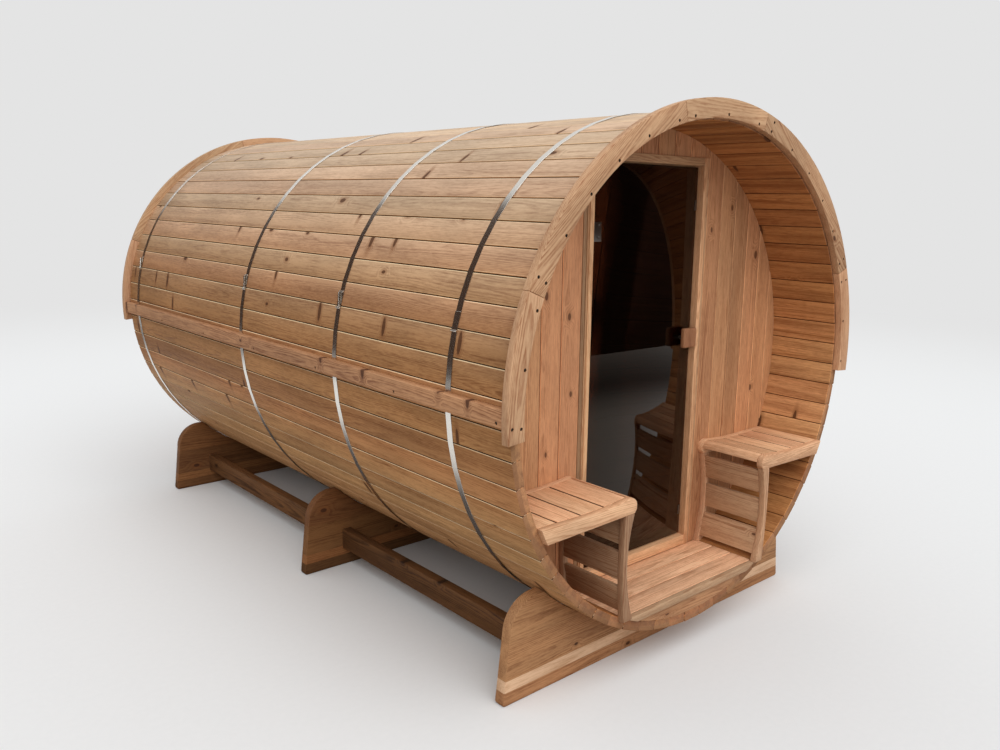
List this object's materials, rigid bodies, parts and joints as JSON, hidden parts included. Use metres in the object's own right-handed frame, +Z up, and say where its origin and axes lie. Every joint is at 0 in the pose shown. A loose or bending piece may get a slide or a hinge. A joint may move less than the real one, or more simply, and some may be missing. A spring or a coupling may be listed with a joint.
{
  "type": "barrel sauna",
  "caption": "Wooden barrel sauna lying on cradles, with steel hoops, an open porch with benches and a hinged dark glass door.",
  "frame": {"origin": "on the ground, under the middle of the barrel", "axes": "+Y along the barrel from the porch to the rear, +X to the right seen from the porch, +Z up"},
  "size_m": [2.02, 3.466, 2.1],
  "materials": {
    "stave_wood": "planed softwood, satin",
    "trim_wood": "planed softwood, satin",
    "wall_wood": "planed softwood, satin",
    "frame_wood": "planed softwood, satin",
    "floor_wood": "planed softwood, satin",
    "bench_wood": "planed softwood, satin",
    "cradle_wood": "planed softwood, oiled",
    "handle_wood": "planed softwood, satin",
    "bronze_glass": "dark bronze safety glass",
    "hoop_steel": "rolled strip",
    "hinge_steel": "satin"
  },
  "bodies": {
    "root": {"barrel_top": "stave_wood", "barrel_upper_left": "stave_wood", "barrel_left": "stave_wood", "barrel_lower_left": "stave_wood", "barrel_bottom": "stave_wood", "barrel_lower_right": "stave_wood", "barrel_right": "stave_wood", "barrel_upper_right": "stave_wood", "hoop_1": "hoop_steel", "hoop_2": "hoop_steel", "hoop_3": "hoop_steel", "hoop_4": "hoop_steel", "front_fascia": "trim_wood", "rear_fascia": "trim_wood", "left_eaves_board": "trim_wood", "right_eaves_board": "trim_wood", "porch_wall_left": "wall_wood", "porch_wall_right": "wall_wood", "porch_wall_over_door": "wall_wood", "porch_wall_below_door": "wall_wood", "rear_wall": "wall_wood", "door_jamb_left": "frame_wood", "door_jamb_right": "frame_wood", "door_header": "frame_wood", "door_sill": "frame_wood", "porch_floor": "floor_wood", "room_floor": "floor_wood", "porch_apron": "floor_wood", "left_bench_front_frame": "bench_wood", "left_bench_back_frame": "bench_wood", "left_bench_seat": "bench_wood", "left_bench_skirt": "bench_wood", "right_bench_front_frame": "bench_wood", "right_bench_back_frame": "bench_wood", "right_bench_seat": "bench_wood", "right_bench_skirt": "bench_wood", "front_cradle": "cradle_wood", "middle_cradle": "cradle_wood", "rear_cradle": "cradle_wood", "left_rails": "cradle_wood", "right_rails": "cradle_wood", "hinge_brackets": "hinge_steel"},
    "door": {"door_glass": "bronze_glass", "door_handle": "handle_wood", "hinge_clamps": "hinge_steel"}
  },
  "joints": [
    {"name": "door_hinge", "type": "hinge", "parent": "root", "child": "door", "pos_m": [-0.312, -1.382, 0], "axis": [0, 0, -1], "range_deg": [0, 90]}
  ]
}
